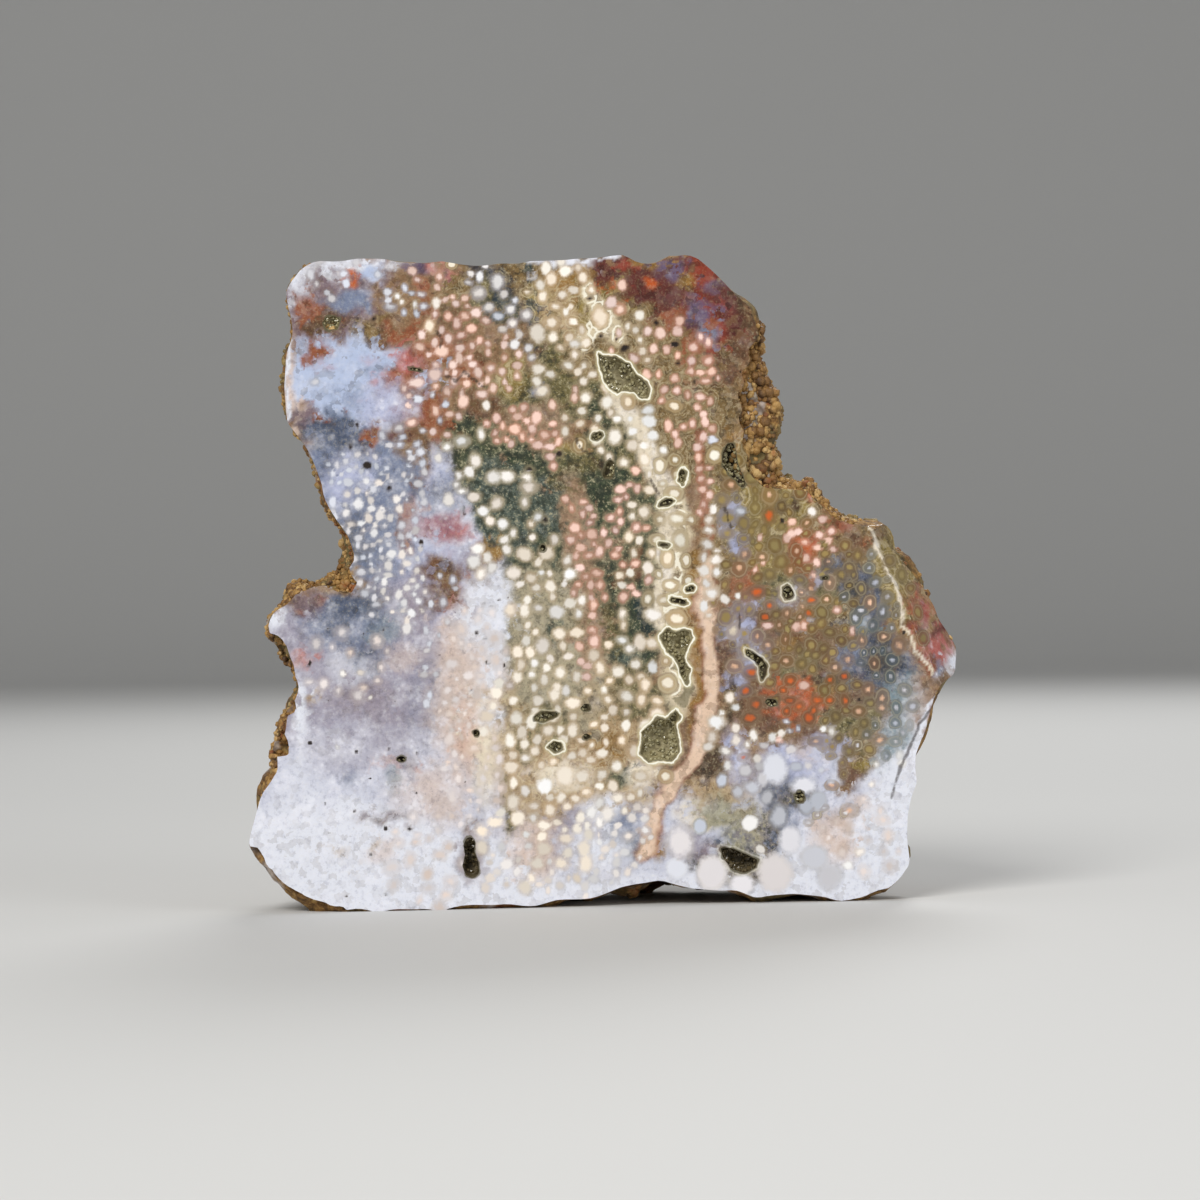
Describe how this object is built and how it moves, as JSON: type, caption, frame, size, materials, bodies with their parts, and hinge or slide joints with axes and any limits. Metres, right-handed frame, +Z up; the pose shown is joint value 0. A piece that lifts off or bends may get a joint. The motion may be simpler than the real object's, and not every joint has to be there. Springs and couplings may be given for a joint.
{
  "type": "ocean jasper specimen",
  "caption": "Upright piece of orb jasper with one flat polished face, a sloping polished facet and a rough lumpy crust, standing on its own flat feet.",
  "frame": {"origin": "middle of the stone's footprint box, on the surface it stands on", "axes": "+Z up; -Y out of the polished face, towards the viewer; +X to the viewer's right"},
  "size_m": [0.1092, 0.0402, 0.0977],
  "materials": {
    "orb_jasper": "polished front, rough crust"
  },
  "bodies": {
    "root": {"ocean_jasper": "orb_jasper"}
  },
  "joints": []
}
